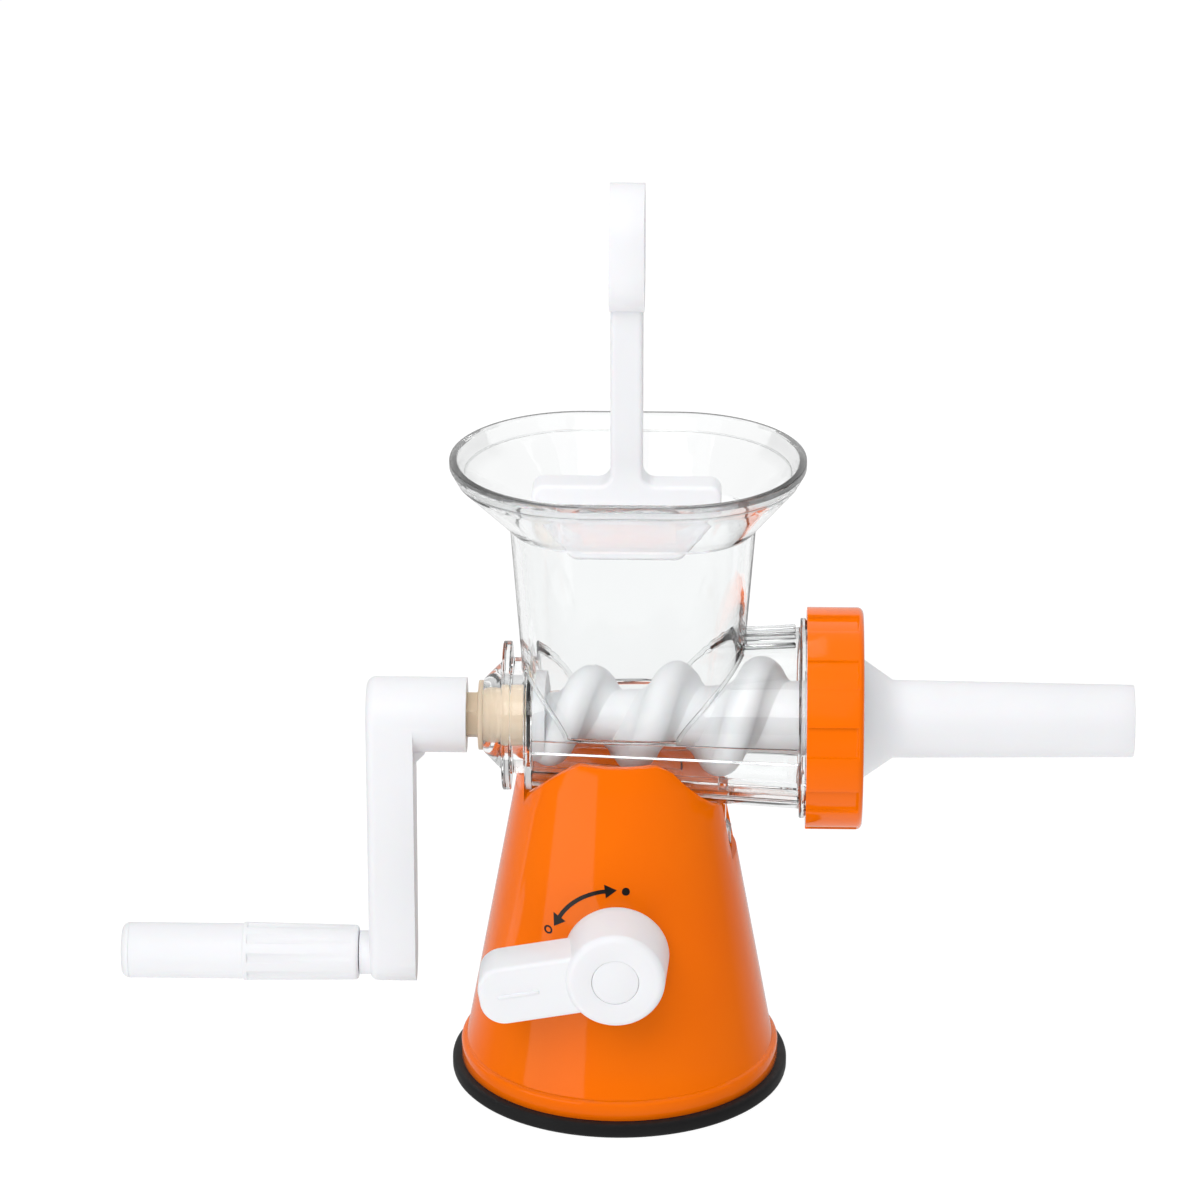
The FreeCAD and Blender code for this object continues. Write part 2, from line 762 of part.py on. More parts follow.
def suction_lever():
    """Round knob with one arm, on the square end of the cam shaft."""
    body = new_body("suction_lever", z=s.lever_height)
    turn_with_lever(body)
    half, tip, corner = s.arm_width / 2, s.arm_reach, s.arm_tip_corner
    arm = outline(new_sketch(body, "XZ_Plane", arm_face), [
        (0, half),
        (corner - tip, half, corner, 1),
        (-tip, half - corner),
        (-tip, corner - half, corner, 1),
        (corner - tip, -half),
        (0, -half),
    ])
    pad(body, arm, s.arm_depth, reverse=True)
    fillet(body, s.arm_edge, lambda edge: lies_at(edge, "Y", -arm_face) and edge.BoundBox.XMin < 0)
    revolve(body, outline(new_sketch(body, "XY_Plane"), [
        (0, -s.knob_back),
        (0, -knob_front),
        (s.knob_front_radius - s.knob_edge, -knob_front, s.knob_edge, 1),
        (s.knob_front_radius, s.knob_edge - knob_front),
        (s.knob_back_radius, -s.knob_back),
    ]), "V_Axis")
    cap = new_sketch(body, "XZ_Plane", knob_front)
    circle(cap, s.cap_radius + s.slip_fit)
    pocket(body, cap, knob_front - cap_seat)
    head = new_sketch(body, "XZ_Plane", cap_seat)
    circle(head, s.lever_screw_head + s.play)
    pocket(body, head, cap_seat - screw_seat)
    hole = new_sketch(body, "XZ_Plane", screw_seat)
    circle(hole, s.lever_screw_radius + s.play)
    pocket(body, hole, screw_seat - s.knob_back)
    square = new_sketch(body, "XZ_Plane", s.knob_back)
    rectangle(square, s.shaft_square / 2 + s.slip_fit, s.shaft_square / 2 + s.slip_fit)
    pocket(body, square, s.shaft_square_length + s.slip_fit, forward=True)
    return body


def lever_screw():
    body = new_body("lever_screw", z=s.lever_height)
    seat = screw_seat + s.slip_fit
    revolve(body, outline(new_sketch(body, "XY_Plane"), [
        (0, -(seat + s.lever_screw_head_height)),
        (s.lever_screw_head, -(seat + s.lever_screw_head_height)),
        (s.lever_screw_head, -seat),
        (s.lever_screw_radius, -seat),
        (s.lever_screw_radius, s.lever_screw_length - s.play - shaft_tip),
        (0, s.lever_screw_length - s.play - shaft_tip),
    ]), "V_Axis")
    return body


def lever_cap():
    body = new_body("lever_cap", z=s.lever_height)
    disc = new_sketch(body, "XZ_Plane", cap_seat + s.slip_fit)
    circle(disc, s.cap_radius)
    pad(body, disc, s.cap_thickness)
    return body


def hopper_body():
    """Clear moulding: hopper, throat, tapered barrel, neck and foot in one piece."""
    body = new_body("hopper_body", z=s.axis_height)
    revolve(body, outline(new_sketch(body, "XZ_Plane"), [
        (neck_tip, 0),
        (mouth_front, 0),
        (mouth_front, s.mouth_radius),
        (collar_front, s.mouth_radius),
        (collar_front, s.collar_radius),
        (barrel_front, s.collar_radius),
        (barrel_front, s.barrel_front_radius),
        (-s.barrel_back, s.barrel_back_radius),
        (-s.barrel_back, s.groove_radius),
        (disc_front, s.groove_radius),
        (disc_front, s.disc_radius),
        (disc_back, s.disc_radius),
        (disc_back, s.neck_root_radius),
        (neck_tip, s.neck_tip_radius),
    ]))
    loft(body, hopper_sections(body, zero, zero))
    add_foot(body)
    bore = s.barrel_wall
    knife_chamber = barrel_radius(collar_front) - bore
    journal_hole = s.shaft_radius + s.running_fit
    bush_hole = journal_hole + s.bush_wall + s.slip_fit
    seal_hole = journal_hole + s.seal_width + s.slip_fit
    revolve(body, outline(new_sketch(body, "XZ_Plane"), [
        (neck_tip, 0),
        (mouth_front, 0),
        (mouth_front, s.plate_radius + s.slip_fit),
        (plate_back, s.plate_radius + s.slip_fit),
        (plate_back, knife_chamber),
        (collar_front, knife_chamber),
        (chamber_back, barrel_radius(chamber_back) - bore),
        (chamber_back, seal_hole),
        (seal_seat, seal_hole),
        (seal_seat, bush_hole),
        (neck_tip, bush_hole),
    ]), cut=True)
    loft(body, hopper_sections(body, s.hopper_wall, s.hopper_wall), cut=True)
    rib = outline(new_sketch(body, "XY_Plane"), [
        (chamber_back, -(barrel_radius(chamber_back) - bore / 2)),
        (barrel_front, -(barrel_radius(barrel_front) - bore / 2)),
        (barrel_front, s.rib_height + bore - barrel_radius(barrel_front)),
        (chamber_back, s.rib_height + bore - barrel_radius(chamber_back)),
    ])
    rib_feature = revolve(body, rib, "H_Axis", s.rib_angle)
    repeat(body, rib_feature, "X_Axis", RIBS, s.rib_spread)
    return body


def hopper_sections(body, inset, floor):
    """Sections of the throat, the dish and the rim, at the outer face or inset by the wall."""
    throat_corner = s.throat_corner - inset
    crank_corner, outlet_corner = s.rim_crank_corner - inset, s.rim_outlet_corner - inset
    low_half, top_half = s.throat_low_half_length - inset, s.throat_top_half_length - inset
    low_depth, top_depth = s.throat_low_half_depth - inset, s.throat_top_half_depth - inset
    rim_half, rim_depth = s.rim_half_length - inset, s.rim_half_depth - inset
    shoulder_half, shoulder_depth = rim_half - s.rim_shoulder_inset, rim_depth - s.rim_shoulder_inset
    shoulder = s.rim_height - s.rim_shoulder
    lip = s.rim_height - s.rim_lip
    top = s.rim_height + inset
    corners = (throat_corner, throat_corner)
    rim_corners = (crank_corner, outlet_corner)
    shoulder_corners = (crank_corner - s.rim_shoulder_inset, outlet_corner - s.rim_shoulder_inset)
    return [
        rounded_section(body, s.throat_skirt, s.throat_centre, low_half, low_depth, *corners),
        rounded_section(body, s.throat_height + floor / 2, s.throat_centre, top_half, top_depth, *corners),
        rounded_section(body, shoulder + floor / 2, s.rim_centre, shoulder_half, shoulder_depth,
                        *shoulder_corners),
        rounded_section(body, lip + floor / 2, s.rim_centre, rim_half, rim_depth, *rim_corners),
        rounded_section(body, top, s.rim_centre, rim_half, rim_depth, *rim_corners),
    ]


def add_foot(body):
    """Two rails that stand on the base's deck, and the snap tab on the outlet side."""
    deck = s.deck_height - s.axis_height
    for side in (-1, 1):
        rail = new_sketch(body, "XY_Plane", deck)
        rectangle(rail, s.foot_rail_length / 2, s.foot_rail_wall / 2, 0, s.foot_rail_spacing / 2 * side)
        pad(body, rail, -deck)
    inner = s.latch_station
    outer = inner + s.latch_thickness
    low = latch_low() - s.axis_height
    high = s.barrel_wall / 2 - barrel_radius(inner)
    tab = outline(new_sketch(body, "XZ_Plane"), [
        (inner, low),
        (outer - s.latch_barb / 2, low),
        (outer + s.latch_barb, low + s.latch_thickness),
        (outer, low + s.latch_thickness * 2),
        (outer, high),
        (inner, high),
    ])
    pad(body, tab, s.latch_half_width * 2, both=True)


def shaft_bush():
    """Sleeve in the neck, with its flange outside against the tip."""
    body = new_body("shaft_bush", z=s.axis_height)
    bore = s.shaft_radius + s.running_fit
    revolve(body, outline(new_sketch(body, "XZ_Plane"), [
        (bush_back, bore),
        (seal_seat, bore),
        (seal_seat, bore + s.bush_wall),
        (neck_tip, bore + s.bush_wall),
        (neck_tip, s.bush_flange_radius),
        (bush_back, s.bush_flange_radius),
    ]))
    return body


def shaft_seal():
    """Soft ring in the end wall, between the bush and the auger."""
    body = new_body("shaft_seal", z=s.axis_height)
    bore = s.shaft_radius + s.running_fit
    back = seal_seat + s.slip_fit
    revolve(body, outline(new_sketch(body, "XZ_Plane"), [
        (back, bore),
        (back + s.seal_thickness, bore),
        (back + s.seal_thickness, bore + s.seal_width),
        (back, bore + s.seal_width),
    ]))
    return body


def drive_shaft():
    """Round journal with a hexagon for the crank and a square tenon for the auger."""
    body = new_body("drive_shaft", z=s.axis_height)
    journal_back = bush_back - s.play
    journal = new_sketch(body, "YZ_Plane", journal_back)
    circle(journal, s.shaft_radius)
    pad(body, journal, auger_back - journal_back)
    hexagon_sketch = hexagon(new_sketch(body, "YZ_Plane", journal_back), s.hex_flats)
    pad(body, hexagon_sketch, journal_back - socket_end - s.play, reverse=True)
    tenon = new_sketch(body, "YZ_Plane", auger_back)
    rectangle(tenon, s.tenon_square / 2, s.tenon_square / 2)
    pad(body, tenon, s.tenon_length)
    return body


def auger():
    """Tapered core with one left-handed flight, a square for the knife and a pin for the plate."""
    body = new_body("auger", z=s.axis_height)
    core_slope = (s.core_front_radius - s.core_rear_radius) / (auger_front - auger_back)
    revolve(body, outline(new_sketch(body, "XZ_Plane"), [
        (auger_back, 0),
        (auger_front, 0),
        (auger_front, s.core_front_radius),
        (auger_back + s.auger_disc, s.core_rear_radius + core_slope * s.auger_disc),
        (auger_back + s.auger_disc, s.auger_disc_radius),
        (auger_back, s.auger_disc_radius),
    ]))
    start = auger_back - s.flight_lead
    surface = s.core_rear_radius + core_slope * (start - auger_back)
    root, crest, shoulder = s.flight_root, s.flight_crest, s.flight_shoulder
    buried = surface - s.core_rear_radius / 4
    side_radius = s.flight_root
    profile = outline(new_sketch(body, "XY_Plane"), [
        (start + root, -buried),
        (start + root, -surface, side_radius, 1),
        (start + crest, -(surface + shoulder), s.flight_crest_radius, -1),
        (start, -(surface + s.flight_height), s.flight_crest_radius, -1),
        (start - crest, -(surface + shoulder), side_radius, 1),
        (start - root, -surface),
        (start - root, -buried),
    ])
    flight = body.newObject("PartDesign::AdditiveHelix", "flight")
    flight.Profile = profile
    flight.ReferenceAxis = (profile, ["H_Axis"])
    flight.Mode = 0
    flight.LeftHanded = True
    flight.HasBeenEdited = True
    bind(flight, "Pitch", s.flight_pitch)
    bind(flight, "Height", auger_front - s.flight_root - s.play - start)
    bind(flight, "Angle", arctangent(core_slope))
    trim_back = start - s.flight_root * 2
    revolve(body, outline(new_sketch(body, "XZ_Plane"), [
        (trim_back, 0),
        (auger_back, 0),
        (auger_back, s.barrel_front_radius),
        (trim_back, s.barrel_front_radius),
    ]), cut=True)
    square = new_sketch(body, "YZ_Plane", auger_front)
    rectangle(square, s.knife_square / 2, s.knife_square / 2)
    pad(body, square, plate_back - auger_front)
    nose = new_sketch(body, "YZ_Plane", auger_front)
    circle(nose, s.plate_pin_radius)
    pad(body, nose, plate_front - auger_front)
    socket = new_sketch(body, "YZ_Plane", auger_back)
    side = s.tenon_square / 2 + s.slip_fit
    rectangle(socket, side, side)
    pocket(body, socket, s.tenon_length + s.play, forward=True)
    return body


def cross_knife():
    """Four blades on a square hub, flat side to the plate."""
    body = new_body("cross_knife", z=s.axis_height)
    back = auger_front + s.play
    hub = new_sketch(body, "YZ_Plane", back)
    circle(hub, s.knife_hub_radius)
    pad(body, hub, s.knife_thickness)
    width, reach, lean = s.knife_blade_width, s.knife_reach, s.knife_blade_width / 3
    blade = outline(new_sketch(body, "YZ_Plane", back), [
        (-(width / 2), 0),
        (width / 2, 0),
        (width / 2 - lean, reach - lean),
        (-lean, reach),
        (-(width / 2) - lean / 2, reach - lean),
    ])
    repeat(body, pad(body, blade, s.knife_thickness), "X_Axis", KNIFE_BLADES)
    square = new_sketch(body, "YZ_Plane", back)
    side = s.knife_square / 2 + s.slip_fit
    rectangle(square, side, side)
    pocket(body, square, s.knife_thickness, forward=True)
    return body


def hole_plate():
    """Round plate with two rings of holes and a key notch."""
    body = new_body("hole_plate", z=s.axis_height)
    disc = new_sketch(body, "YZ_Plane", plate_back)
    circle(disc, s.plate_radius)
    circle(disc, s.plate_pin_radius + s.running_fit)
    pad(body, disc, s.plate_thickness)
    for ring, count in ((s.plate_inner_ring, PLATE_INNER_HOLES), (s.plate_outer_ring, PLATE_OUTER_HOLES)):
        hole = new_sketch(body, "YZ_Plane", plate_back)
        circle(hole, s.plate_hole_radius, 0, ring)
        repeat(body, pocket(body, hole, s.plate_thickness, forward=True), "X_Axis", count)
    notch = new_sketch(body, "YZ_Plane", plate_back)
    circle(notch, s.plate_key_radius, 0, s.plate_radius)
    pocket(body, notch, s.plate_thickness, forward=True)
    return body


def stuffing_tube():
    """Sausage filling tube: a clamped flange, a funnel and a long tube."""
    body = new_body("stuffing_tube", z=s.axis_height)
    flange_radius = s.mouth_radius - s.play
    funnel_end = tube_start - s.tube_cone_wall / 2
    revolve(body, outline(new_sketch(body, "XZ_Plane"), [
        (flange_back, s.tube_root_radius),
        (flange_back, flange_radius),
        (flange_front, flange_radius),
        (flange_front, s.tube_root_radius),
        (tube_start, s.tube_start_radius),
        (tube_end, s.tube_end_radius),
        (tube_end, s.tube_bore),
        (funnel_end, s.tube_bore),
    ]))
    return body


def ring_nut():
    """Clamping ring with raised grips round its rim."""
    body = new_body("ring_nut", z=s.axis_height)
    bore = s.mouth_radius + s.play
    opening = s.tube_root_radius + s.play * 2
    low = s.ring_radius - s.grip_recess
    revolve(body, outline(new_sketch(body, "XZ_Plane"), [
        (ring_back, bore),
        (ring_seat, bore),
        (ring_seat, opening),
        (ring_front, opening),
        (ring_front, s.ring_radius - s.ring_edge, s.ring_edge, 1),
        (ring_front - s.ring_edge, s.ring_radius),
        (ring_back, s.ring_radius),
    ]))
    doc.recompute()
    recess = outline(new_sketch(body, "XZ_Plane"), [
        (ring_back - s.play, low),
        (ring_front - s.ring_edge, low),
        (ring_front - s.ring_edge / 2, s.ring_radius + s.play),
        (ring_back - s.play, s.ring_radius + s.play),
    ])
    groove = revolve(body, recess, "H_Axis", s.grip_recess_angle, cut=True)
    repeat(body, groove, "X_Axis", RING_GRIPS)
    return body


def crank_arm():
    """Crank with a hexagon socket at the hub and a spigot for the grip."""
    body = new_body("crank_arm", z=s.axis_height)
    end = -s.crank_throw
    arm = outline(new_sketch(body, "YZ_Plane", arm_back), [
        (s.hub_radius, 0, s.hub_radius, 1),
        (-s.hub_radius, 0),
        (-s.crank_end_radius, end, s.crank_end_radius, 1),
        (s.crank_end_radius, end),
    ])
    pad(body, arm, s.crank_thickness)
    fillet(body, s.crank_edge, lambda edge: lies_at(edge, "X", arm_back))
    hub = new_sketch(body, "YZ_Plane", arm_front - s.crank_thickness / 2)
    circle(hub, s.hub_radius)
    pad(body, hub, s.hub_length + s.crank_thickness / 2)
    web = outline(new_sketch(body, "XZ_Plane"), [
        (arm_front, -(s.hub_radius - s.gusset)),
        (arm_front + s.gusset, -(s.hub_radius - s.gusset)),
        (arm_front + s.gusset, -s.hub_radius),
        (arm_front, -(s.hub_radius + s.gusset)),
    ])
    pad(body, web, s.crank_end_radius, both=True)
    spigot = new_sketch(body, "YZ_Plane", spigot_end)
    circle(spigot, s.spigot_radius, 0, end)
    pad(body, spigot, s.spigot_length + s.crank_edge)
    socket = hexagon(new_sketch(body, "YZ_Plane", hub_front), s.hex_flats + s.slip_fit * 2)
    pocket(body, socket, hub_front - socket_end)
    axle_hole = new_sketch(body, "YZ_Plane", spigot_end)
    circle(axle_hole, s.axle_radius + s.running_fit, 0, end)
    pocket(body, axle_hole, s.axle_grip + s.spigot_length, forward=True)
    return body


def grip_axle():
    """Steel pin from the crank through the grip, tapped for its screw."""
    body = new_body("grip_axle", z=s.axis_height - s.crank_throw)
    inner_end = arm_back + s.axle_grip - s.slip_fit
    hole = s.grip_screw_radius + s.running_fit
    revolve(body, outline(new_sketch(body, "XZ_Plane"), [
        (axle_end, hole),
        (axle_end, s.axle_radius),
        (inner_end, s.axle_radius),
        (inner_end, 0),
        (axle_end + s.grip_screw_length, 0),
        (axle_end + s.grip_screw_length, hole),
    ]))
    return body


def hand_grip():
    """Turning grip, fluted at the crank end and smooth at the outer end."""
    body = new_body("hand_grip", z=s.axis_height - s.crank_throw)
    bore = s.axle_radius + s.running_fit
    edge = s.handle_edge
    flute_end = handle_front - s.flute_length
    smooth = s.handle_radius - s.handle_waist
    slim = s.handle_radius - s.handle_taper
    revolve(body, outline(new_sketch(body, "XZ_Plane"), [
        (handle_end, s.handle_pocket),
        (handle_shoulder, s.handle_pocket),
        (handle_shoulder, bore),
        (handle_front, bore),
        (handle_front, slim - edge, edge, 1),
        (handle_front - edge, slim),
        (flute_end, s.handle_radius),
        (flute_end - s.handle_waist, smooth),
        (handle_end, smooth),
    ]))
    flute = new_sketch(body, "YZ_Plane", handle_front - edge * 2)
    circle(flute, s.flute_radius, 0, s.handle_radius + s.flute_radius - s.flute_depth)
    repeat(body, pocket(body, flute, s.flute_length - edge * 3), "X_Axis", FLUTES)
    return body


def grip_screw():
    body = new_body("grip_screw", z=s.axis_height - s.crank_throw)
    seat = axle_end - s.running_fit
    revolve(body, outline(new_sketch(body, "XZ_Plane"), [
        (seat - s.grip_screw_head_height, 0),
        (axle_end + s.grip_screw_length - s.play, 0),
        (axle_end + s.grip_screw_length - s.play, s.grip_screw_radius),
        (seat, s.grip_screw_radius),
        (seat, s.grip_screw_head),
        (seat - s.grip_screw_head_height, s.grip_screw_head),
    ]))
    return body


def grip_cap():
    """Domed plug in the end of the grip."""
    body = new_body("grip_cap", z=s.axis_height - s.crank_throw)
    plug = s.handle_pocket - s.slip_fit
    plug_end = handle_end + s.handle_pocket_depth - s.grip_screw_head_height - s.play * 4
    rim = s.handle_radius - s.handle_waist
    dome = s.handle_cap_dome
    face = handle_end - s.running_fit
    revolve(body, outline(new_sketch(body, "XZ_Plane"), [
        (face - dome, 0),
        (plug_end, 0),
        (plug_end, plug),
        (face, plug),
        (face, rim, dome, 1),
        (face - dome, rim - dome),
    ]))
    return body


def pusher():
    """Food pusher: a shield-shaped foot, a flat stem and a finger loop."""
    low = s.axis_height + s.core_front_radius + s.flight_height
    body = new_body("pusher", x=s.throat_centre / 2, z=low + s.pusher_lift)
    stem, width, tip = s.pusher_stem_width / 2, s.pusher_foot_width / 2, s.pusher_foot_tip / 2
    foot = s.pusher_foot_height
    loop_low = s.pusher_length - s.loop_height
    corner = s.pusher_root
    outer = s.loop_depth / 2
    shape = outline(new_sketch(body, "XZ_Plane"), [
        (-(tip - corner), 0),
        (tip - corner, 0, s.pusher_tip_corner, 1),
        (tip, corner),
        (width, foot - s.pusher_foot_side),
        (width, foot - corner, corner, 1),
        (width - corner, foot),
        (stem + corner, foot, corner, -1),
        (stem, foot + corner),
        (stem, loop_low + s.loop_strip),
        (-stem, loop_low + s.loop_strip),
        (-stem, foot + corner, corner, -1),
        (-(stem + corner), foot),
        (-(width - corner), foot, corner, 1),
        (-width, foot - corner),
        (-width, foot - s.pusher_foot_side),
        (-tip, corner, s.pusher_tip_corner, 1),
    ])
    pad(body, shape, s.pusher_thickness, both=True)
    half = s.pusher_thickness / 2
    fillet(body, s.pusher_edge, lambda edge: lies_at(edge, "Y", half) or lies_at(edge, "Y", -half))
    loop = new_sketch(body, "YZ_Plane")
    for inset in (zero, s.loop_strip):
        side = outer - inset
        outline(loop, [
            (side, loop_low + outer),
            (side, s.pusher_length - outer, side, 1),
            (-side, s.pusher_length - outer),
            (-side, loop_low + outer, side, 1),
        ])
    pad(body, loop, s.loop_width, both=True)
    return body


def all_parts():
    return [
        base_shell(), suction_cup(), pull_rod(), cam_shaft(), shaft_clip(),
        suction_lever(), lever_screw(), lever_cap(),
        hopper_body(), shaft_bush(), shaft_seal(), drive_shaft(),
        auger(), cross_knife(), hole_plate(), stuffing_tube(), ring_nut(),
        crank_arm(), grip_axle(), hand_grip(), grip_screw(), grip_cap(),
        pusher(),
    ]


def check_and_export(parts):
    """Write one STEP file for each piece, once every object is sound."""
    for item in doc.Objects:
        if "Invalid" in item.State or "Error" in item.State:
            raise RuntimeError(f"{item.Label} failed: {item.State}")
    for part in parts:
        if part.Shape.isNull() or not part.Shape.isValid():
            raise RuntimeError(f"{part.Label} has no sound shape")
        if len(part.Shape.Solids) != 1:
            raise RuntimeError(f"{part.Label} has {len(part.Shape.Solids)} solids")
    os.makedirs("parts", exist_ok=True)
    for part in parts:
        part.Shape.exportStep(f"parts/{part.Label}.step")


parts = all_parts()
doc.recompute()
check_and_export(parts)
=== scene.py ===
import json
import math

import bmesh
import bpy
from mathutils import Matrix, Vector


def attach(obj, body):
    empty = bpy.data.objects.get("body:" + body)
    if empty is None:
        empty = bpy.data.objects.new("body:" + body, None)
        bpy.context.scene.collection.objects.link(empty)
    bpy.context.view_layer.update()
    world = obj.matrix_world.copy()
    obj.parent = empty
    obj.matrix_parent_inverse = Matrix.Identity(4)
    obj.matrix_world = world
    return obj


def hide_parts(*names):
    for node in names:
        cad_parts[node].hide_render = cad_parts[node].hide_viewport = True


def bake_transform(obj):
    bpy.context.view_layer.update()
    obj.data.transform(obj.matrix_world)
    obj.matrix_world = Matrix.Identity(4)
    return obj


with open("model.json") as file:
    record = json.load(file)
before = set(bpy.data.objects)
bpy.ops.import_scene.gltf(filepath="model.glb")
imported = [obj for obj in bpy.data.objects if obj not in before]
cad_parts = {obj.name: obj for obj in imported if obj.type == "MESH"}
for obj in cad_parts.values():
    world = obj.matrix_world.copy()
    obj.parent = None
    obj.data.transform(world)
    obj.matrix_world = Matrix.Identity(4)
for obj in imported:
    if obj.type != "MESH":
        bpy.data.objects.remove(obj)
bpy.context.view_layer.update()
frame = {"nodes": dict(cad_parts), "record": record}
NODES = frame["nodes"]

# All lengths in metres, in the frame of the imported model: -Y is the front, +X the outlet.
MM = 0.001
MERGE = 0.002 * MM  # points of a CAD mesh that are closer than this are one point
FACE_FRONT = (math.radians(90), 0, 0)  # turns a flat shape towards the front

# Suction lever: the height of its axle, where that leaves the base, and its drooping arm
LEVER_HEIGHT = 61.5 * MM
LEVER_AXIS = Vector((0, -60 * MM, LEVER_HEIGHT))
LEVER_DROOP = math.radians(10)
ARM_FACE = -64.5 * MM

# Clear body: the step inside its rim, and the tapered outside of its barrel
RIM_STEP_HEIGHT = 211 * MM
BARREL_HEIGHT = 126 * MM
BARREL_BACK, BARREL_BACK_RADIUS, BARREL_TAPER = -30.6 * MM, 24.2 * MM, 5.4 / 89.1


def linear(code):
    """Colour of an sRGB hex code as the linear values that shaders use."""
    values = [int(code[i:i + 2], 16) / 255 for i in (1, 3, 5)]
    return (*[v / 12.92 if v <= 0.04045 else ((v + 0.055) / 1.055) ** 2.4 for v in values], 1.0)


def add(tree, kind, links=None, **settings):
    """One node with its settings; links maps its input names to other nodes' outputs."""
    node = tree.nodes.new(kind)
    for name, value in settings.items():
        if name in node.bl_rna.properties:
            setattr(node, name, value)
    for name, value in settings.items():
        if name not in node.bl_rna.properties:
            node.inputs[name.replace("_", " ")].default_value = value
    for name, output in (links or {}).items():
        tree.links.new(output, node.inputs[name])
    return node


def new_material(name):
    """A plain material, its node tree and its surface shader."""
    material = bpy.data.materials.new(name)
    material.use_nodes = True
    tree = material.node_tree
    return material, tree, tree.nodes["Principled BSDF"]


def set_shader(shader, **values):
    """Numbers and colours that are the same all over a surface, set on the shader itself."""
    for name, value in values.items():
        shader.inputs[name.replace("_", " ")].default_value = value


def moulded(name, shade, light, roughness, grain_mm, dent, **values):
    """Injection-moulded plastic: a slight flow in its colour, uneven gloss and a soft skin."""
    flow_size, haze_size, skin_depth = 45 * MM, 9 * MM, 0.1 * MM
    material, tree, shader = new_material(name)
    place = add(tree, "ShaderNodeTexCoord").outputs["Object"]
    flow = add(tree, "ShaderNodeTexNoise", {"Vector": place}, Scale=1 / flow_size, Detail=3.0)
    tint = add(tree, "ShaderNodeMix", {"Factor": flow.outputs["Fac"]}, data_type="RGBA")
    tint.inputs["A"].default_value = linear(shade)
    tint.inputs["B"].default_value = linear(light)
    tree.links.new(tint.outputs["Result"], shader.inputs["Base Color"])
    haze = add(tree, "ShaderNodeTexNoise", {"Vector": place}, Scale=1 / haze_size, Detail=4.0)
    gloss = add(tree, "ShaderNodeMapRange", {"Value": haze.outputs["Fac"]},
                To_Min=roughness * 0.8, To_Max=roughness * 1.25)
    tree.links.new(gloss.outputs["Result"], shader.inputs["Roughness"])
    skin = add(tree, "ShaderNodeTexNoise", {"Vector": place},
               Scale=1 / (grain_mm * MM), Detail=2.0)
    bump = add(tree, "ShaderNodeBump", {"Height": skin.outputs["Fac"]},
               Strength=dent, Distance=skin_depth)
    tree.links.new(bump.outputs["Normal"], shader.inputs["Normal"])
    set_shader(shader, **values)
    return material


def orange_abs():
    """Glossy orange ABS from a polished tool: deep colour under sharp soft-box reflections."""
    return moulded("orange_gloss_abs", "#FB6C00", "#FF7800", 0.08, 14, 0.04,
                   IOR=1.53, Specular_IOR_Level=0.3)


def white_abs():
    """Satin white ABS: opaque, faintly cool, with broad soft highlights."""
    return moulded("white_satin_abs", "#EDEEF1", "#F5F5F8", 0.32, 5, 0.06,
                   IOR=1.53, Subsurface_Weight=0.08, Subsurface_Scale=1.5 * MM)


def shaded_white_nylon():
    """White nylon of the screw, darkened to a slight grey as painted shade from the clear body
    round it; milky, with a soft sheen.
    """
    return moulded("shaded_white_nylon", "#D6D7D9", "#E0E1E3", 0.36, 4, 0.06,
                   IOR=1.52, Subsurface_Weight=0.1, Subsurface_Scale=2 * MM)


def ivory_acetal():
    """Natural acetal of the shaft and its bush: waxy, slightly yellow and matt."""
    return moulded("ivory_acetal", "#CFBAA0", "#DDCBB4", 0.42, 3, 0.08,
                   IOR=1.48, Subsurface_Weight=0.12, Subsurface_Scale=2 * MM)


def black_rubber():
    """Soft black rubber of the foot: dull, with a fine moulded grain that catches grey light."""
    return moulded("black_soft_rubber", "#101011", "#1B1B1C", 0.62, 1.2, 0.25, IOR=1.52)


def clear_styrene():
    """Clear moulded styrene: faint flow waves bend what lies behind; as painted light, a band at
    the rim is partly see-through, so the rim looks lighter.
    """
    wave_size, rub_size = 22 * MM, 6 * MM
    # Painted light: between these heights below the rim the surface turns partly see-through, up to
    # this share, so the rim looks lighter.
    lighter_rim_start, lighter_rim_end, most_rim_lightening = 207 * MM, 213 * MM, 0.18
    material, tree, shader = new_material("clear_moulded_styrene")
    place = add(tree, "ShaderNodeTexCoord").outputs["Object"]
    wave = add(tree, "ShaderNodeTexNoise", {"Vector": place}, Scale=1 / wave_size, Detail=1.0)
    bump = add(tree, "ShaderNodeBump", {"Height": wave.outputs["Fac"]},
               Strength=0.06, Distance=0.2 * MM)
    tree.links.new(bump.outputs["Normal"], shader.inputs["Normal"])
    rub = add(tree, "ShaderNodeTexNoise", {"Vector": place}, Scale=1 / rub_size, Detail=5.0)
    gloss = add(tree, "ShaderNodeMapRange", {"Value": rub.outputs["Fac"]}, To_Min=0.0, To_Max=0.05)
    tree.links.new(gloss.outputs["Result"], shader.inputs["Roughness"])
    set_shader(shader, Base_Color=linear("#F9FAFA"), Transmission_Weight=1.0, IOR=1.45)
    # Painted light: across the rim band some see-through shading is mixed in, so the white behind
    # shows and the rim looks lighter.
    height = add(tree, "ShaderNodeSeparateXYZ", {0: place}).outputs["Z"]
    rim_lightening = add(tree, "ShaderNodeMapRange", {"Value": height},
                 From_Min=lighter_rim_start, From_Max=lighter_rim_end, To_Max=most_rim_lightening)
    see_through = add(tree, "ShaderNodeBsdfTransparent")
    surface = add(tree, "ShaderNodeMixShader",
                  {0: rim_lightening.outputs["Result"], 1: shader.outputs["BSDF"],
                   2: see_through.outputs["BSDF"]})
    tree.links.new(surface.outputs["Shader"], tree.nodes["Material Output"].inputs["Surface"])
    return material


